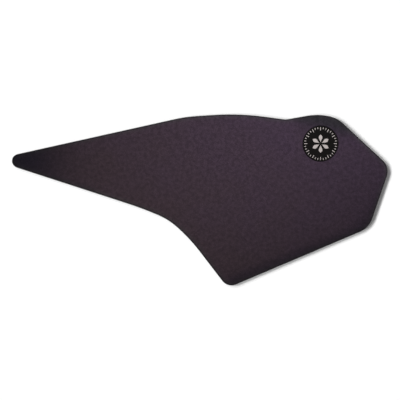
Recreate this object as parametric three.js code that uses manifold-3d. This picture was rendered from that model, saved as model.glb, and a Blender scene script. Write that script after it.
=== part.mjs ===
// Tank grip for a motorcycle: a moulded rubber pad that sticks to one flank of the fuel tank,
// where the rider's knee presses, with a round badge let into its face. Units are millimetres.
// The pad lies on its flat adhesive back with the grip face up (+Z), its narrow tip towards -X and
// its upper edge towards +Y. The origin is in the middle of the outline's box, on the back.
import * as THREE from "three";
import { mergeVertices } from "three/addons/utils/BufferGeometryUtils.js";
import Module from "manifold-3d";

// The pad's section.
const PAD_THICKNESS = 2.5;
const EDGE_ROUND = 0.9; // radius between the side wall and the face
const EDGE_DRAFT = 0.2; // how far the side wall leans in below that radius

// The outline's corners, anticlockwise seen from the face. x and y say where the two sides at a
// corner would meet, and radius is the arc that rounds it off. HOLLOW and DIP corners bend inwards.
const TIP = { x: -165.7, y: 32.2, radius: 5.6 };
const HOLLOW_START = { x: -45.9, y: -6.7, radius: 396 };
const HOLLOW_MIDDLE = { x: -25.1, y: -15.5, radius: 74 };
const HOLLOW_END = { x: -7.8, y: -31.1, radius: 166 };
const FOOT = { x: 22.4, y: -70.4, radius: 9.3 };
const HEEL = { x: 135.3, y: -22.5, radius: 18.5 };
const NOSE = { x: 152, y: 26.3, radius: 12.7 };
const SHOULDER = { x: 109.7, y: 65.7, radius: 32.4 };
const CREST = { x: 94.4, y: 68.8, radius: 63.6 };
const DIP = { x: 68.8, y: 64.3, radius: 9.4 };
const BROW_BY_DIP = { x: 31.3, y: 69.2, radius: 201 };
const BROW_BY_TIP = { x: -11.5, y: 66.5, radius: 120 };

// The badge and the recess that it is glued into.
const BADGE_DIAMETER = 28.4;
const BADGE_THICKNESS = 0.9; // at its rim
const BADGE_CROWN = 0.3; // how far its middle rises above its rim
const BADGE_ROUND = 0.2; // radius that breaks its upper edge
const BADGE_CLEARANCE = 0.3; // between its rim and the recess wall
const BADGE_SINK = 0.1; // from the pad's face down to the badge's rim
const BADGE_FROM_SHOULDER = { x: -13.4, y: -20.8 }; // badge centre, from the SHOULDER corner

// How finely the round forms are faceted.
const CHORD_ERROR = 0.02;
const ROUND_STEPS = 5;
const CROWN_STEPS = 6;
const BADGE_SEGMENTS = 96;

const wasm = await Module();
wasm.setup();

// A closed geometry as a solid that can be cut.
function solidOf(geometry) {
  const bare = geometry.clone();
  bare.deleteAttribute("normal");
  bare.deleteAttribute("uv");
  const merged = mergeVertices(bare, 1e-4);
  return new wasm.Manifold(
    new wasm.Mesh({
      numProp: 3,
      vertProperties: new Float32Array(merged.attributes.position.array),
      triVerts: new Uint32Array(merged.index.array),
    }),
  );
}

// A solid as a flat-shaded geometry.
function geometryOf(solid) {
  const mesh = solid.getMesh();
  const indexed = new THREE.BufferGeometry();
  indexed.setAttribute("position", new THREE.BufferAttribute(mesh.vertProperties, 3));
  indexed.setIndex(new THREE.BufferAttribute(mesh.triVerts, 1));
  const flat = indexed.toNonIndexed();
  flat.computeVertexNormals();
  return flat;
}

// A quarter round as points [inwards, upwards], from the wall where it starts to the face.
function quarterRound(radius) {
  return Array.from({ length: ROUND_STEPS + 1 }, (_, i) => {
    const angle = (i / ROUND_STEPS) * (Math.PI / 2);
    return [radius * (1 - Math.cos(angle)), radius * Math.sin(angle)];
  });
}

// The sides of a closed outline: where each begins, its direction and its length.
function sidesOf(corners) {
  return corners.map((corner, i) => {
    const start = new THREE.Vector2(corner.x, corner.y);
    const next = corners[(i + 1) % corners.length];
    const direction = new THREE.Vector2(next.x, next.y).sub(start);
    const length = direction.length();
    return { start, direction: direction.normalize(), length };
  });
}

// The outline as a list of points on its arcs, each with the unit normal that faces outwards.
// Two arcs that would overlap on the side between them are both made smaller until they fit.
function roundedOutline(corners) {
  const sides = sidesOf(corners);
  const count = corners.length;
  const bends = corners.map((corner, i) => {
    const arriving = sides[(i + count - 1) % count].direction;
    const leaving = sides[i].direction;
    const turn = Math.atan2(arriving.cross(leaving), arriving.dot(leaving));
    return { arriving, turn, tangent: corner.radius * Math.tan(Math.abs(turn) / 2) };
  });
  const room = sides.map((side, i) =>
    Math.min(1, side.length / (bends[i].tangent + bends[(i + 1) % count].tangent)),
  );
  return corners.flatMap((corner, i) => {
    const { arriving, turn, tangent } = bends[i];
    const fit = Math.min(room[i], room[(i + count - 1) % count]);
    const radius = corner.radius * fit;
    const start = sides[i].start.clone().addScaledVector(arriving, -tangent * fit);
    const outwards = new THREE.Vector2(arriving.y, -arriving.x);
    const reach = Math.sign(turn) * radius;
    const centre = start.addScaledVector(outwards, -reach);
    const widestStep = 2 * Math.acos(Math.max(0, 1 - CHORD_ERROR / radius));
    const steps = Math.ceil(Math.abs(turn) / widestStep);
    return Array.from({ length: steps + 1 }, (_, k) => {
      const normal = outwards.clone().rotateAround(new THREE.Vector2(), (turn * k) / steps);
      return { point: centre.clone().addScaledVector(normal, reach), normal };
    });
  });
}

// A slab with a flat bottom and top, whose side follows a section all the way round an outline.
// The section is a list of points [inset, height] from bottom to top.
function slabGeometry(outline, section) {
  const count = outline.length;
  const positions = section.flatMap(([inset, height]) =>
    outline.flatMap(({ point, normal }) => {
      const moved = point.clone().addScaledVector(normal, -inset);
      return [moved.x, moved.y, height];
    }),
  );
  const top = (section.length - 1) * count;
  const faces = [];
  for (let ring = 0; ring < top; ring += count) {
    for (let i = 0; i < count; i += 1) {
      const here = ring + i;
      const beside = ring + ((i + 1) % count);
      faces.push(here, beside, beside + count, here, beside + count, here + count);
    }
  }
  const flat = THREE.ShapeUtils.triangulateShape(
    outline.map(({ point }) => point),
    [],
  );
  for (const [a, b, c] of flat) {
    faces.push(c, b, a, top + a, top + b, top + c);
  }
  const geometry = new THREE.BufferGeometry();
  geometry.setAttribute("position", new THREE.Float32BufferAttribute(positions, 3));
  geometry.setIndex(faces);
  return geometry;
}

// The outline and the badge's centre, moved so that the outline's box is centred on the origin.
function layOut() {
  const outline = roundedOutline([
    TIP,
    HOLLOW_START,
    HOLLOW_MIDDLE,
    HOLLOW_END,
    FOOT,
    HEEL,
    NOSE,
    SHOULDER,
    CREST,
    DIP,
    BROW_BY_DIP,
    BROW_BY_TIP,
  ]);
  const box = new THREE.Box2().setFromPoints(outline.map(({ point }) => point));
  const middle = box.getCenter(new THREE.Vector2());
  const badgeCentre = new THREE.Vector2(SHOULDER.x, SHOULDER.y).add(BADGE_FROM_SHOULDER);
  return {
    outline: outline.map(({ point, normal }) => ({ point: point.clone().sub(middle), normal })),
    badgeCentre: badgeCentre.sub(middle),
  };
}

const layout = layOut();
const recessDepth = BADGE_SINK + BADGE_THICKNESS;
const recessFloor = PAD_THICKNESS - recessDepth;

// The rubber pad, with its rounded upper edge and the recess for the badge.
function gripPad() {
  const round = Math.min(EDGE_ROUND, PAD_THICKNESS / 2);
  const roundStart = PAD_THICKNESS - round;
  const roundSection = quarterRound(round).map(([inwards, upwards]) => [
    EDGE_DRAFT + inwards,
    roundStart + upwards,
  ]);
  const blank = solidOf(slabGeometry(layout.outline, [[0, 0], ...roundSection]));
  const recessRadius = BADGE_DIAMETER / 2 + BADGE_CLEARANCE;
  const recess = new THREE.CylinderGeometry(recessRadius, recessRadius, 2 * recessDepth, BADGE_SEGMENTS)
    .rotateX(Math.PI / 2)
    .translate(layout.badgeCentre.x, layout.badgeCentre.y, PAD_THICKNESS);
  const rubber = new THREE.MeshStandardMaterial({ color: 0x3a2f38, roughness: 0.85, metalness: 0 });
  const pad = new THREE.Mesh(geometryOf(blank.subtract(solidOf(recess))), rubber);
  pad.name = "grip_pad";
  return pad;
}

// The badge: a shallow domed disc, revolved about its own middle, that rests on the recess's floor.
function roundBadge() {
  const radius = BADGE_DIAMETER / 2;
  const round = Math.min(BADGE_ROUND, BADGE_THICKNESS / 2);
  const domeEdge = radius - round;
  const ballRadius = (domeEdge ** 2 + BADGE_CROWN ** 2) / (2 * BADGE_CROWN);
  const profile = [new THREE.Vector2(0, 0), new THREE.Vector2(radius, 0)];
  for (const [inwards, upwards] of quarterRound(round)) {
    profile.push(new THREE.Vector2(radius - inwards, BADGE_THICKNESS - round + upwards));
  }
  for (let step = 1; step <= CROWN_STEPS; step += 1) {
    const r = domeEdge * (1 - step / CROWN_STEPS);
    const drop = ballRadius - Math.sqrt(ballRadius ** 2 - r ** 2);
    profile.push(new THREE.Vector2(r, BADGE_THICKNESS + BADGE_CROWN - drop));
  }
  const disc = new THREE.LatheGeometry(profile, BADGE_SEGMENTS).rotateX(Math.PI / 2);
  const resin = new THREE.MeshStandardMaterial({ color: 0x18171a, roughness: 0.35, metalness: 0 });
  const badge = new THREE.Mesh(disc, resin);
  badge.name = "round_badge";
  badge.position.set(layout.badgeCentre.x, layout.badgeCentre.y, recessFloor);
  return badge;
}

const tankGrip = new THREE.Group();
tankGrip.name = "tank_grip";
tankGrip.add(gripPad(), roundBadge());

export default tankGrip;
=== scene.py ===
import math

import bpy
import numpy as np
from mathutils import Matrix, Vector, noise
from mathutils.geometry import delaunay_2d_cdt


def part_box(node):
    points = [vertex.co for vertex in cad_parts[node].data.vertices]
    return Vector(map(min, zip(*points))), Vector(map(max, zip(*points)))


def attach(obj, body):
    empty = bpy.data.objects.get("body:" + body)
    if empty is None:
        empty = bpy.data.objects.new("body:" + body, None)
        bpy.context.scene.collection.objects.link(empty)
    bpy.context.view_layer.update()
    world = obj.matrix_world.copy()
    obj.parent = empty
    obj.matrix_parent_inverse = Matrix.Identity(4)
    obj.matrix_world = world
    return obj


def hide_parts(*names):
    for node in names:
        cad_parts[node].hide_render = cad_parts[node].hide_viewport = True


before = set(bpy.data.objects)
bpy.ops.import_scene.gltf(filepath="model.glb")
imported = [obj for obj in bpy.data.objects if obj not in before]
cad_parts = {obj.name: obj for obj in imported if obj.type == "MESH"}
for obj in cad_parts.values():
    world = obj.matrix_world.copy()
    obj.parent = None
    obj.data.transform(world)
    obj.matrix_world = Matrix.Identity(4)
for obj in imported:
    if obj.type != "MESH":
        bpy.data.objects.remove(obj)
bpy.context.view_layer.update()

MM = 0.001
ROOT = "root"

# The pad's edge, which the frame doesn't state.
EDGE_ROUND = 0.9 * MM
EDGE_DRAFT = 0.2 * MM
EDGE_STEPS = 8

# The pad's mesh.
OUTLINE_STEP = 1.2 * MM
RIM_RINGS = (0.5 * MM, 1.4 * MM)  # insets of two rings on the face, past the edge's round
LATTICE = 3.0 * MM
LATTICE_MARGIN = 1.6 * MM
WELD = 0.001 * MM
SHARP_ANGLE = 40  # an edge past it isn't smoothed over
UNEVEN_DEPTH = 0.06 * MM
UNEVEN_SIZE = 42 * MM
UNEVEN_FADE = 14 * MM  # how far in from the edge the unevenness reaches its full depth

# Stretches of the edge along which painted shade darkens the rubber, where light falls off: their
# two ends in the frame, how far in the painted shade reaches and how deep it is.
CREST = ((84 * MM, 68 * MM), (116 * MM, 60 * MM))  # above the badge
PAINTED_SHADE_STRETCHES = (
    ((-150 * MM, 33 * MM), (-140 * MM, 33 * MM), 30 * MM, 0.9),  # the tip
    (*CREST, 8.6 * MM, 0.8),
    ((26 * MM, -65 * MM), (131 * MM, -24 * MM), 5 * MM, 0.6),  # the lower side
    ((131 * MM, -24 * MM), (143 * MM, -2 * MM), 6 * MM, 0.36),  # the heel
    ((-126 * MM, 18 * MM), (-88 * MM, 7 * MM), 4 * MM, 0.3),  # below the tip
)
# The rubber is greyer along the crest, and a little all round its edge.
GREY_STRETCHES = ((*CREST, 6 * MM, 0.5),)
EDGE_GREYING = (0.8 * MM, 5 * MM)  # how far in from the edge it is greyest, and where it has ended
EDGE_SATURATION = 0.68

# The rubber's colours. Its hue turns from browner to bluer along HUE_DIRECTION, and wanders.
RUBBER_BROWNER = (0.0576, 0.0380, 0.0482, 1)
RUBBER_BLUER = (0.0609, 0.0395, 0.0649, 1)
# painted shade, mixed in along the stretches of edge where light falls off
RUBBER_PAINTED_SHADE = (0.0183, 0.0150, 0.0258, 1)
# the smooth cut rim's colour, made darker still as painted shade of the rounded edge
RUBBER_RIM_WITH_PAINTED_SHADE = (0.020, 0.0178, 0.0205, 1)
HUE_DIRECTION = (0.554, 0.832, 0)
HUE_SPAN = (-30 * MM, 105 * MM)  # along it, from the place where the turn begins to where it ends
HUE_WANDER = 20 * MM  # how far a place may take the hue from
HUE_WANDER_SIZE = 30 * MM

# The rubber's grain: low pebbles with grooves between them, darkened by painted shade, out to a
# smooth rim.
GRAIN_START = (0.7 * MM, 1.5 * MM)  # how far in from the edge it begins and is at its full depth
GRAIN_HEIGHT = 0.1 * MM
RIM_GRAIN = 0.1  # the share of that height that is left on the rim
PEBBLE_SIZE = 1.2 * MM
PEBBLE_SHOULDER = 0.3  # a share of a pebble's size, as is the next
GROOVE_HALF_WIDTH = 0.16
GROOVE_PAINTED_SHADE = 0.78
FINE_GRAIN_SIZE = 0.3 * MM
FINE_GRAIN_SHARE = 0.3  # of the pebbles' height

# The rubber's mottle. A noise is given by its size, its detail and its roughness.
MOTTLE = (2.8 * MM, 3.0, 0.6)
MOTTLE_TONE = (0.83, 1.22)
MOTTLE_ENDS = (0.2, 0.8)  # where the roughness stops following the mottle
NOISE_ENDS = (0.3, 0.7)  # where the other looks stop following a noise
RUBBER_ROUGHNESS = (0.68, 0.82)
RUBBER_SPECULAR = 0.35

# The adhesive film, with faint coating lines along the pad.
ADHESIVE_DARK = (0.0180, 0.0162, 0.0170, 1)
ADHESIVE_LIGHT = (0.0250, 0.0228, 0.0238, 1)
ADHESIVE_ROUGHNESS = (0.44, 0.47)
ADHESIVE_SPECULAR = 0.2
COATING = (1.5 * MM, 3.0, 0.6)
COATING_STRETCH = (0.04, 1, 1)
COATING_RIPPLE = 0.6 * MM
COATING_STRENGTH = 0.4
COATING_HEIGHT = 0.02 * MM

# The badge's two smooth materials. Each turns softly from its first colour and roughness to its
# second in clouds, and has a very faint ripple.
RESIN = {
    "colours": ((0.0070, 0.0060, 0.0058, 1), (0.0096, 0.0083, 0.0080, 1)),
    "roughness": (0.27, 0.31),
    "cloud_size": 3 * MM,
    "ripple_size": 0.5 * MM,
    "ripple_strength": 0.03,
    "specular": 0.4,
}
INK = {
    "colours": ((0.53, 0.47, 0.46, 1), (0.65, 0.59, 0.57, 1)),
    "roughness": (0.40, 0.52),
    "cloud_size": 0.7 * MM,
    "ripple_size": 0.3 * MM,
    "ripple_strength": 0.1,
    "specular": 0.5,
}
RIPPLE_HEIGHT = 0.01 * MM

# The recess and the badge.
RECESS_CLEARANCE = 0.3 * MM
RECESS_BREAK = 0.12 * MM  # the softened corner at the recess's mouth
BADGE_CROWN = 0.3 * MM
BADGE_ROUND = 0.2 * MM
BADGE_SEGMENTS = 128
BADGE_RINGS = 14
BADGE_ROUND_STEPS = 4

# The marks printed on the badge.
PRINT_PROUD = 0.03 * MM
PRINT_SUNK = 0.03 * MM
TICKS = 36
TICKS_PER_LONG_TICK = 3
TICK_OUTER = 13.15 * MM
TICK_WIDTH = 0.51 * MM
LONG_TICK = 2.6 * MM
SHORT_TICK = 1.5 * MM
PETALS = 6
PETAL_START = 0.9 * MM
PETAL_LENGTH = 6.3 * MM
PETAL_WIDTH = 2.9 * MM
PETAL_FULLNESS = 1.6  # above 1, a petal is widest beyond its middle
PETAL_POINTS = 12  # along each side
ARC_POINTS = 9

# The camera, from the photograph's scale of the pad.
PHOTO_WIDTH = 400
PIXEL = 0.7995 * MM  # one photograph pixel on the pad
VIEW_CENTRE = (0.2 * MM, -0.05 * MM)
CAMERA_HEIGHT = 0.9
SENSOR = 36.0  # millimetres, as Blender states it

# The light on the pieces: a narrowed spot whose bright band runs up to the right, a sun from below
# for the pad's back, and the world.
KEY_PLACE = (0.2, 0.271, 0.9)
KEY_POWER = 33.0
KEY_HALF_ANGLE = 39.5
KEY_TURN = 47.4
KEY_NARROWING = 0.332
KEY_RADIUS = 0.05
BACK_STRENGTH = 2.6
BACK_WIDTH = 50.0
BACK_BEAM = (-0.5, 0.75, 1.0)  # the way its light travels
AMBIENT = 0.12

# The white surround that the camera and the gloss see. Its heights go from 0 at the horizon to 1
# straight up. The gloss sees it white up to the first, and dark grey from the second on.
SURROUND_HEIGHTS = (0.05, 0.45)
SURROUND_ZENITH = 0.08

# The floor, and the light on it: a fan of suns that cast the drop shadow, and a soft sky.
FLOOR_SIZE = 40.0
FLOOR_DROP = 0.05 * MM
FLOOR_WHITE = (0.93, 0.93, 0.93, 1)
SUN_ELEVATION = 30.5
SUN_FAN = ((-39.4, 0.25), (-9.4, 0.5), (20.6, 0.25))  # ways the shadow falls, and each sun's share
SUN_STRENGTH = 5.5
SUN_WIDTH = 14.0
SKY_STRENGTH = 0.32
SKY_WIDTH = 90.0


def smoothstep(low, high, value):
    """From 0 at low to 1 at high, with a soft start and end."""
    t = np.clip((value - low) / (high - low), 0, 1)
    return t * t * (3 - 2 * t)


def bottom_outline(node):
    """The outline of a node's flat bottom, anticlockwise seen from above, as rows of x and y."""
    mesh = node.data
    mesh.calc_loop_triangles()
    lowest = min(v.co.z for v in mesh.vertices)
    places = {}
    sides = set()
    for triangle in mesh.loop_triangles:
        corners = [mesh.vertices[i].co for i in triangle.vertices]
        if max(c.z for c in corners) - lowest > WELD:
            continue
        keys = [(round(c.x / WELD), round(c.y / WELD)) for c in corners]
        places.update(zip(keys, ((c.x, c.y) for c in corners)))
        sides.update(zip(keys, keys[1:] + keys[:1]))
    after = {end: start for start, end in sides if (end, start) not in sides}
    first = min(after)
    loop = [first]
    while after[loop[-1]] != first:
        loop.append(after[loop[-1]])
    return np.array([places[key] for key in loop])


def turned_right(vectors):
    """The vectors turned by a right angle, clockwise seen from above."""
    return np.column_stack([vectors[:, 1], -vectors[:, 0]])


def with_normals(outline):
    """Points no more than OUTLINE_STEP apart round an outline, and their normals facing out."""
    sides = np.roll(outline, -1, axis=0) - outline
    perpendicular = turned_right(sides)
    corner_normals = perpendicular + np.roll(perpendicular, 1, axis=0)
    corner_normals /= np.linalg.norm(corner_normals, axis=1)[:, None]
    points, normals = [], []
    for i, side in enumerate(sides):
        count = max(1, math.ceil(np.linalg.norm(side) / OUTLINE_STEP))
        for share in np.arange(count) / count:
            points.append(outline[i] + side * share)
            blended = corner_normals[i] * (1 - share) + corner_normals[(i + 1) % len(sides)] * share
            normals.append(blended / np.linalg.norm(blended))
    return np.array(points), np.array(normals)


def distance_to_stretch(points, start, end):
    """How far each point is from the straight stretch between two places."""
    side = np.subtract(end, start)
    share = np.clip(((points - start) @ side) / (side @ side), 0, 1)
    return np.linalg.norm(points - start - share[:, None] * side, axis=1)


def distance_to_loop(points, loop):
    """How far each point is from a closed loop of points."""
    nearest = np.full(len(points), np.inf)
    for start, end in zip(loop, np.roll(loop, -1, axis=0)):
        nearest = np.minimum(nearest, distance_to_stretch(points, start, end))
    return nearest


def inside_loop(points, loop):
    """Which points lie inside a closed loop, by counting the sides to their right."""
    crossings = np.zeros(len(points), int)
    for (x0, y0), (x1, y1) in zip(loop, np.roll(loop, -1, axis=0)):
        spans = (y0 > points[:, 1]) != (y1 > points[:, 1])
        if y0 != y1:
            crossing = x0 + (points[:, 1] - y0) / (y1 - y0) * (x1 - x0)
            crossings += spans & (points[:, 0] < crossing)
    return crossings % 2 == 1


def circle(centre, radius, count):
    """Points round a circle, anticlockwise from +X."""
    angles = np.arange(count) / count * 2 * math.pi
    return centre + radius * np.column_stack([np.cos(angles), np.sin(angles)])


def lattice_points(outer, hole):
    """Points of a triangular lattice between two loops, clear of both."""
    low, high = outer.min(0), outer.max(0)
    rows = np.arange(low[1], high[1], LATTICE * math.sqrt(3) / 2)
    columns = np.arange(low[0], high[0], LATTICE)
    points = np.array([(x + (j % 2) * LATTICE / 2, y) for j, y in enumerate(rows) for x in columns])
    points = points[inside_loop(points, outer) & ~inside_loop(points, hole)]
    clear = np.minimum(distance_to_loop(points, outer), distance_to_loop(points, hole))
    return points[clear > LATTICE_MARGIN]


class Shell:
    """A mesh's vertices and faces as they are added. Rings run anticlockwise seen from above."""

    def __init__(self):
        self.vertices = []
        self.faces = []

    def ring(self, points, heights):
        """Adds points at one height, or at a height each, and returns their numbers."""
        first = len(self.vertices)
        places = zip(points, np.broadcast_to(heights, len(points)))
        self.vertices.extend((x, y, z) for (x, y), z in places)
        return list(range(first, len(self.vertices)))

    def wall(self, rings, turned=False):
        """Quads from each ring up to the next, facing out, or turned to face the middle."""
        for lower, upper in zip(rings, rings[1:]):
            for i in range(len(lower)):
                quad = (lower[i - 1], lower[i], upper[i], upper[i - 1])
                self.faces.append(quad[::-1] if turned else quad)

    def cap(self, ring, turned=False):
        """One face over a ring, facing up, or turned to face down."""
        self.faces.append(tuple(ring[::-1] if turned else ring))

    def flat_points(self, ring):
        """The x and y of a ring's points, as rows."""
        return np.array([self.vertices[i][:2] for i in ring]).reshape(-1, 2)

    def fill(self, outer, hole, height, turned=False):
        """Even triangles between two rings, facing up, or turned to face down.

        The triangulation also covers the hollows outside the rings, and slivers without area lie
        along their straight sides. Both are left out.
        """
        bounds = [self.flat_points(ring) for ring in (outer, hole)]
        inner = lattice_points(*bounds)
        flat = np.vstack([*bounds, inner])
        numbers = outer + hole + self.ring(inner, height)
        fixed = [((i - 1) % len(outer), i) for i in range(len(outer))]
        fixed += [(len(outer) + (i - 1) % len(hole), len(outer) + i) for i in range(len(hole))]
        result = delaunay_2d_cdt([Vector(point) for point in flat], fixed, [], 0, WELD)
        assert len(result[0]) == len(flat), "the triangles need the points as they are"
        corners = flat[np.array(result[2])]
        first, second = corners[:, 1] - corners[:, 0], corners[:, 2] - corners[:, 0]
        solid = first[:, 0] * second[:, 1] - first[:, 1] * second[:, 0] > WELD * LATTICE
        middles = corners.mean(axis=1)
        kept = solid & inside_loop(middles, bounds[0]) & ~inside_loop(middles, bounds[1])
        for i in np.nonzero(kept)[0]:
            self.cap([numbers[k] for k in result[2][i]], turned)

    def piece(self, name, slot, materials, replaced=None):
        """The finished smooth-shaded object, declared to the frame."""
        mesh = bpy.data.meshes.new(name)
        mesh.from_pydata([tuple(v) for v in self.vertices], [], self.faces)
        mesh.validate()
        mesh.polygons.foreach_set("use_smooth", [True] * len(mesh.polygons))
        mesh.set_sharp_from_angle(angle=math.radians(SHARP_ANGLE))
        for material in materials:
            mesh.materials.append(material)
        piece = bpy.data.objects.new(name, mesh)
        bpy.context.scene.collection.objects.link(piece)
        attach(piece, ROOT)
        if replaced:
            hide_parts(replaced)
        return piece


def quarter_round(radius, steps):
    """Insets and drops along a quarter round, from the wall up to the flat that it meets."""
    angles = np.arange(steps + 1) / steps * math.pi / 2
    return [(radius * (1 - math.cos(angle)), radius * (1 - math.sin(angle))) for angle in angles]


def badge_measures():
    """The badge's middle, its radius, and the heights of its underside and of its rim."""
    low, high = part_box("round_badge")
    return np.array((low + high)[:2]) / 2, (high.x - low.x) / 2, low.z, high.z - BADGE_CROWN


def uneven(vertices, depth, top):
    """Lowers the points of the face a little, more or less from place to place."""
    for i in np.nonzero(vertices[:, 2] > top - WELD)[0]:
        wave = 0.5 + 0.5 * noise.noise(Vector((*vertices[i, :2], 0)) / UNEVEN_SIZE)
        vertices[i, 2] -= UNEVEN_DEPTH * wave * smoothstep(0, UNEVEN_FADE, depth[i])


def along_stretches(points, stretches):
    """How strongly the stretches of edge colour each point, from 0 to 1."""
    clear = np.ones(len(points))
    for start, end, reach, strength in stretches:
        clear *= 1 - strength * np.exp(-(distance_to_stretch(points, start, end) / reach) ** 2)
    return 1 - clear


def pad_section(bottom, top):
    """Insets and heights up the pad's edge and a little way over its face."""
    section = [(0, bottom)]
    for inset, drop in quarter_round(EDGE_ROUND, EDGE_STEPS):
        section.append((EDGE_DRAFT + inset, top - drop))
    for further in RIM_RINGS:
        section.append((EDGE_DRAFT + EDGE_ROUND + further, top))
    return section


def recess_section(radius, floor, top):
    """Radii and heights up the recess's wall and a little way over the pad's face."""
    mouth = radius + RECESS_BREAK
    return [(radius, floor), (radius, top - RECESS_BREAK), (mouth, top), (mouth + RIM_RINGS[0], top)]


def make_pad():
    """The rubber pad as one closed mesh, with the recess for the badge."""
    low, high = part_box("grip_pad")
    centre, badge_radius, recess_floor, _ = badge_measures()
    outline, normals = with_normals(bottom_outline(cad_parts["grip_pad"]))
    recess = recess_section(badge_radius + RECESS_CLEARANCE, recess_floor, high.z)
    shell = Shell()
    edge = [shell.ring(outline - normals * inset, z) for inset, z in pad_section(low.z, high.z)]
    hole = [shell.ring(circle(centre, radius, BADGE_SEGMENTS), z) for radius, z in recess]
    shell.fill(edge[0], [], low.z, turned=True)
    on_back = len(shell.faces)
    shell.wall(edge)
    shell.wall(hole, turned=True)
    shell.cap(hole[0])
    shell.fill(edge[-1], hole[-1], high.z)

    places = np.array(shell.vertices)
    depth = distance_to_loop(places[:, :2], outline)
    fields = {
        "edge_depth": depth,
        # painted shade along stretches of the edge, where light falls off
        "painted_shade": along_stretches(places[:, :2], PAINTED_SHADE_STRETCHES),
        "greyness": along_stretches(places[:, :2], GREY_STRETCHES),
    }
    uneven(places, depth, high.z)
    shell.vertices = places
    materials = [rubber_material(), adhesive_material()]
    pad = shell.piece("grip_pad_surface", "grip_rubber", materials, "grip_pad")
    for face in pad.data.polygons[:on_back]:
        face.material_index = 1
    for name, values in fields.items():
        pad.data.attributes.new(name, "FLOAT", "POINT").data.foreach_set("value", values)
    return pad


def dome_height(distance, badge_radius, rim_top):
    """Height of the badge's domed face at a distance from its middle."""
    edge = badge_radius - BADGE_ROUND
    ball = (edge ** 2 + BADGE_CROWN ** 2) / (2 * BADGE_CROWN)
    return rim_top + BADGE_CROWN - (ball - math.sqrt(ball ** 2 - min(distance, edge) ** 2))


def make_badge():
    """The badge: a shallow domed disc with a softened rim."""
    centre, radius, bottom, rim_top = badge_measures()
    profile = [(radius, bottom)]
    for inset, drop in quarter_round(BADGE_ROUND, BADGE_ROUND_STEPS):
        profile.append((radius - inset, rim_top - drop))
    for step in range(1, BADGE_RINGS):
        distance = (radius - BADGE_ROUND) * (1 - step / BADGE_RINGS)
        profile.append((distance, dome_height(distance, radius, rim_top)))
    shell = Shell()
    rings = [shell.ring(circle(centre, r, BADGE_SEGMENTS), height) for r, height in profile]
    shell.wall(rings)
    middle = shell.ring([centre], rim_top + BADGE_CROWN)
    for i in range(BADGE_SEGMENTS):
        shell.cap([rings[-1][i - 1], rings[-1][i], *middle])
    shell.cap(rings[0], turned=True)
    resin = smooth_material("badge_resin", RESIN)
    return shell.piece("badge_disc", "badge_resin", [resin], "round_badge")


def capsule(inner, outer, width):
    """A bar with round ends along +Y, from inner to outer, as an anticlockwise outline."""
    half = width / 2
    points = []
    for middle, start in ((outer - half, 0), (inner + half, math.pi)):
        for step in range(ARC_POINTS):
            angle = start + step / (ARC_POINTS - 1) * math.pi
            points.append((half * math.cos(angle), middle + half * math.sin(angle)))
    return np.array(points)


def petal(inner, outer, width):
    """A petal along +Y with a point at each end, as an anticlockwise outline."""
    points = []
    for side in (1, -1):
        for step in range(PETAL_POINTS):
            share = step / PETAL_POINTS if side > 0 else 1 - step / PETAL_POINTS
            half = width / 2 * math.sin(math.pi * share ** PETAL_FULLNESS)
            points.append((side * half, inner + (outer - inner) * share))
    return np.array(points)


def make_print():
    """The badge's printed marks, each a thin closed plate that follows the dome."""
    centre, badge_radius, _, rim_top = badge_measures()
    shapes = []
    for i in range(TICKS):
        length = SHORT_TICK if i % TICKS_PER_LONG_TICK else LONG_TICK
        shapes.append((capsule(TICK_OUTER - length, TICK_OUTER, TICK_WIDTH), i / TICKS))
    for i in range(PETALS):
        shapes.append((petal(PETAL_START, PETAL_START + PETAL_LENGTH, PETAL_WIDTH), i / PETALS))
    shell = Shell()
    for shape, turn in shapes:
        cos, sin = math.cos(turn * 2 * math.pi), math.sin(turn * 2 * math.pi)
        turned = shape @ np.array([(cos, sin), (-sin, cos)])
        distances = np.linalg.norm(turned, axis=1)
        heights = np.array([dome_height(r, badge_radius, rim_top) for r in distances])
        sunk = shell.ring(centre + turned, heights - PRINT_SUNK)
        proud = shell.ring(centre + turned, heights + PRINT_PROUD)
        shell.wall([sunk, proud])
        shell.cap(proud)
        shell.cap(sunk, turned=True)
    return shell.piece("badge_print", "badge_print", [smooth_material("badge_print", INK)])


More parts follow.
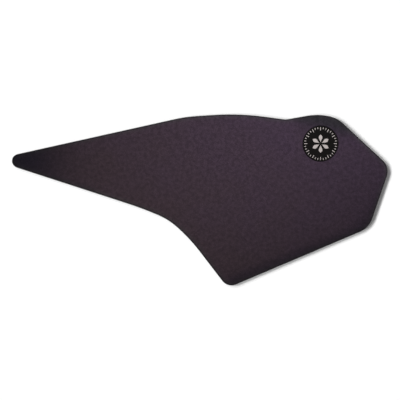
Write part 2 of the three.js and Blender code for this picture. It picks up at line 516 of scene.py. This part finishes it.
class Nodes:
    """A material's node tree, with short calls to add and join nodes."""

    def __init__(self, name):
        self.material = bpy.data.materials.new(name)
        self.material.use_nodes = True
        self.tree = self.material.node_tree
        self.shader = self.tree.nodes["Principled BSDF"]
        self.output = self.tree.nodes["Material Output"]
        self.place = self.tree.nodes.new("ShaderNodeTexCoord").outputs["Object"]

    def put(self, node, key, value):
        if isinstance(value, bpy.types.NodeSocket):
            self.tree.links.new(value, node.inputs[key])
        else:
            node.inputs[key].default_value = value

    def add(self, kind, settings, *inputs):
        """A node with some of its settings changed, and its inputs in order."""
        node = self.tree.nodes.new(kind)
        for key, value in settings.items():
            setattr(node, key, value)
        shown = [i for i, socket in enumerate(node.inputs) if socket.enabled]
        for index, value in zip(shown, inputs):
            self.put(node, index, value)
        return node

    def result(self, node):
        """A node's first output that is in use."""
        return next(socket for socket in node.outputs if socket.enabled)

    def math(self, operation, first, second):
        return self.result(self.add("ShaderNodeMath", {"operation": operation}, first, second))

    def vector(self, operation, first, second):
        settings = {"operation": operation}
        return self.result(self.add("ShaderNodeVectorMath", settings, first, second))

    def ramp(self, value, from_low, from_high, to_low=0.0, to_high=1.0, curve="SMOOTHSTEP"):
        settings = {"interpolation_type": curve}
        ends = (value, from_low, from_high, to_low, to_high)
        return self.result(self.add("ShaderNodeMapRange", settings, *ends))

    def mix(self, factor, first, second):
        return self.result(self.add("ShaderNodeMix", {"data_type": "RGBA"}, factor, first, second))

    def saturate(self, saturation, colour):
        inputs = (0.5, saturation, 1.0, 1.0, colour)  # the hue, the value and the factor stay
        return self.result(self.add("ShaderNodeHueSaturation", {}, *inputs))

    def attribute(self, name):
        return self.add("ShaderNodeAttribute", {"attribute_name": name}).outputs["Fac"]

    def noise(self, size, detail=2.0, roughness=0.5, place=None):
        where = place or self.place
        return self.add("ShaderNodeTexNoise", {}, where, 1 / size, detail, roughness).outputs[0]

    def cell_edges(self, size):
        """How far the nearest border between two cells is, as a share of the cells' size."""
        settings = {"feature": "DISTANCE_TO_EDGE"}
        return self.add("ShaderNodeTexVoronoi", settings, self.place, 1 / size).outputs["Distance"]

    def bump(self, height, strength, distance):
        node = self.tree.nodes.new("ShaderNodeBump")
        self.put(node, "Height", height)
        self.put(node, "Strength", strength)
        self.put(node, "Distance", distance)
        self.put(self.shader, "Normal", node.outputs[0])

    def specular(self, level):
        self.shader.inputs["Specular IOR Level"].default_value = level


def rubber_colour(m, depth, field):
    """The rubber's colour before its grain, from the distance to the edge and the grain's field,
    with painted shade along stretches of the edge.
    """
    across = m.vector("DOT_PRODUCT", m.place, HUE_DIRECTION)
    swing = (-HUE_WANDER, HUE_WANDER, "LINEAR")
    wander = m.ramp(m.noise(HUE_WANDER_SIZE), *NOISE_ENDS, *swing)
    violet = m.ramp(m.math("ADD", across, wander), *HUE_SPAN, 0.0, 1.0, "LINEAR")
    hue = m.mix(violet, RUBBER_BROWNER, RUBBER_BLUER)
    # painted shade: the hue darkened along stretches of the edge, where light falls off
    shaded = m.mix(m.attribute("painted_shade"), hue, RUBBER_PAINTED_SHADE)
    edge_saturation = m.ramp(depth, *EDGE_GREYING, EDGE_SATURATION, 1.0)
    crest_saturation = m.ramp(m.attribute("greyness"), 0.0, 1.0, 1.0, 0.0, "LINEAR")
    greyed = m.saturate(m.math("MULTIPLY", edge_saturation, crest_saturation), shaded)
    # the rim: a smooth cut edge, darkened further by painted shade of its round
    return m.mix(field, RUBBER_RIM_WITH_PAINTED_SHADE, greyed)


def rubber_material():
    """Matt black-violet rubber with a fine pebbled grain that stops at a smooth rim."""
    m = Nodes("grip_rubber")
    depth = m.attribute("edge_depth")
    field = m.ramp(depth, *GRAIN_START)
    mottle = m.noise(*MOTTLE)
    from_groove = m.cell_edges(PEBBLE_SIZE)
    grooves = m.math("MULTIPLY", m.ramp(from_groove, 0.0, GROOVE_HALF_WIDTH, 1.0, 0.0), field)
    tone = m.ramp(mottle, *NOISE_ENDS, *MOTTLE_TONE)
    # the mottle's own tone, times painted shade in the grooves between the pebbles
    mottle_and_groove_shade = m.math("MULTIPLY", tone, m.ramp(grooves, 0.0, 1.0, 1.0, GROOVE_PAINTED_SHADE))
    m.put(m.shader, "Base Color", m.vector("MULTIPLY", rubber_colour(m, depth, field), mottle_and_groove_shade))
    pebbles = m.ramp(from_groove, 0.0, PEBBLE_SHOULDER)
    fine = m.math("MULTIPLY", m.noise(FINE_GRAIN_SIZE), FINE_GRAIN_SHARE)
    share = m.ramp(field, 0.0, 1.0, RIM_GRAIN, 1.0)
    m.bump(m.math("MULTIPLY", m.math("ADD", pebbles, fine), share), 1.0, GRAIN_HEIGHT)
    m.put(m.shader, "Roughness", m.ramp(mottle, *MOTTLE_ENDS, *RUBBER_ROUGHNESS))
    m.specular(RUBBER_SPECULAR)
    return m.material


def adhesive_material():
    """The pad's back: a dark, smooth, slightly shiny film of adhesive."""
    m = Nodes("adhesive_back")
    streaks = m.noise(*COATING, m.vector("MULTIPLY", m.place, COATING_STRETCH))
    shade = m.ramp(streaks, *NOISE_ENDS)
    m.put(m.shader, "Base Color", m.mix(shade, ADHESIVE_DARK, ADHESIVE_LIGHT))
    m.put(m.shader, "Roughness", m.ramp(shade, 0.0, 1.0, *ADHESIVE_ROUGHNESS))
    relief = m.math("ADD", streaks, m.noise(COATING_RIPPLE))
    m.bump(relief, COATING_STRENGTH, COATING_HEIGHT)
    m.specular(ADHESIVE_SPECULAR)
    return m.material


def smooth_material(name, look):
    """The badge's near-black resin, or its light, slightly warm grey ink."""
    m = Nodes(name)
    cloud = m.noise(look["cloud_size"])
    m.put(m.shader, "Base Color", m.mix(cloud, *look["colours"]))
    m.put(m.shader, "Roughness", m.ramp(cloud, *NOISE_ENDS, *look["roughness"]))
    m.bump(m.noise(look["ripple_size"], 1.0), look["ripple_strength"], RIPPLE_HEIGHT)
    m.specular(look["specular"])
    return m.material


def floor_material():
    """Plain white. Seen from below it is clear, so that it never hides the pad's back."""
    m = Nodes("floor_white")
    m.put(m.shader, "Base Color", FLOOR_WHITE)
    m.put(m.shader, "Roughness", 1.0)
    m.specular(0.0)
    below = m.add("ShaderNodeNewGeometry", {}).outputs["Backfacing"]
    clear = m.result(m.add("ShaderNodeBsdfTransparent", {}))
    mixed = m.add("ShaderNodeMixShader", {}, below, m.result(m.shader), clear)
    m.put(m.output, "Surface", m.result(mixed))
    return m.material


def make_floor():
    """A wide floor just below the pad."""
    half = FLOOR_SIZE / 2
    corners = [(-half, -half), (half, -half), (half, half), (-half, half)]
    mesh = bpy.data.meshes.new("floor")
    mesh.from_pydata([(x, y, -FLOOR_DROP) for x, y in corners], [], [(0, 1, 2, 3)])
    floor = bpy.data.objects.new("floor", mesh)
    bpy.context.scene.collection.objects.link(floor)
    mesh.materials.append(floor_material())
    return floor


def make_world():
    """Even soft light, with a white surround that the camera and the gloss see near the horizon."""
    world = bpy.data.worlds.new("studio")
    bpy.context.scene.world = world
    world.use_nodes = True
    tree = world.node_tree
    background = tree.nodes["Background"]
    background.inputs["Color"].default_value = (1, 1, 1, 1)
    path = tree.nodes.new("ShaderNodeLightPath").outputs
    direction = tree.nodes.new("ShaderNodeTexCoord").outputs["Generated"]
    split = tree.nodes.new("ShaderNodeSeparateXYZ")
    tree.links.new(direction, split.inputs[0])
    surround = tree.nodes.new("ShaderNodeMapRange")
    surround.interpolation_type = "SMOOTHSTEP"
    surround.inputs["From Min"].default_value = SURROUND_HEIGHTS[0]
    surround.inputs["From Max"].default_value = SURROUND_HEIGHTS[1]
    surround.inputs["To Min"].default_value = 1.0
    surround.inputs["To Max"].default_value = SURROUND_ZENITH
    tree.links.new(split.outputs["Z"], surround.inputs[0])

    def blend(factor, first, second):
        node = tree.nodes.new("ShaderNodeMix")
        tree.links.new(factor, node.inputs[0])
        for socket, value in zip(node.inputs[2:4], (first, second)):
            if isinstance(value, bpy.types.NodeSocket):
                tree.links.new(value, socket)
            else:
                socket.default_value = value
        return node.outputs[0]

    strength = blend(path["Is Glossy Ray"], AMBIENT, surround.outputs[0])
    strength = blend(path["Is Transmission Ray"], strength, surround.outputs[0])
    tree.links.new(blend(path["Is Camera Ray"], strength, 1.0), background.inputs["Strength"])


def lights_only(lamp, name, receivers):
    """The lamp lights these objects and no others."""
    group = bpy.data.collections.new(name)
    for receiver in receivers:
        group.objects.link(receiver)
    lamp.light_linking.receiver_collection = group


def make_sun(name, strength, width, beam, receivers):
    """A soft distant lamp whose light travels along beam."""
    data = bpy.data.lights.new(name, "SUN")
    data.energy = strength
    data.angle = math.radians(width)
    sun = bpy.data.objects.new(name, data)
    sun.rotation_mode = "QUATERNION"
    sun.rotation_quaternion = beam.to_track_quat("-Z", "Y")
    bpy.context.scene.collection.objects.link(sun)
    lights_only(sun, f"lit_by_{name}", receivers)
    return sun


def beam_towards(way, elevation):
    """The direction of light that falls at an elevation and casts shadows at an angle from +X."""
    turn, drop = math.radians(way), math.radians(elevation)
    flat = math.cos(drop)
    return Vector((flat * math.cos(turn), flat * math.sin(turn), -math.sin(drop)))


def make_key(receivers):
    """A spot that shines straight down, narrowed so that it lights a band."""
    data = bpy.data.lights.new("key", "SPOT")
    data.energy = KEY_POWER
    data.spot_size = 2 * math.radians(KEY_HALF_ANGLE)
    data.spot_blend = 1.0
    data.shadow_soft_size = KEY_RADIUS
    key = bpy.data.objects.new("key", data)
    key.location = KEY_PLACE
    key.rotation_euler.z = math.radians(KEY_TURN)
    key.scale.y = KEY_NARROWING
    key.visible_glossy = False
    bpy.context.scene.collection.objects.link(key)
    lights_only(key, "lit_by_key", receivers)


def make_lamps(pieces, floor):
    """The pieces and the floor each have their own light, and only the pieces block the back's."""
    make_key(pieces)
    for i, (way, share) in enumerate(SUN_FAN):
        beam = beam_towards(way, SUN_ELEVATION)
        make_sun(f"sun_{i}", SUN_STRENGTH * share, SUN_WIDTH, beam, [floor])
    make_sun("sky", SKY_STRENGTH, SKY_WIDTH, Vector((0, 0, -1)), [floor])
    back_light = make_sun("back_light", BACK_STRENGTH, BACK_WIDTH, Vector(BACK_BEAM), pieces)
    back_light.light_linking.blocker_collection = back_light.light_linking.receiver_collection


def make_camera():
    """Looks straight down, with a lens that takes in the photograph's width at the pad."""
    data = bpy.data.cameras.new("camera")
    data.sensor_width = SENSOR
    data.lens = SENSOR * CAMERA_HEIGHT / (PHOTO_WIDTH * PIXEL)
    camera = bpy.data.objects.new("camera", data)
    camera.location = (*VIEW_CENTRE, CAMERA_HEIGHT)
    bpy.context.scene.collection.objects.link(camera)
    bpy.context.scene.camera = camera


pieces = [make_pad(), make_badge(), make_print()]
floor = make_floor()
make_world()
make_lamps(pieces, floor)
make_camera()
bpy.context.scene.view_settings.view_transform = "Standard"
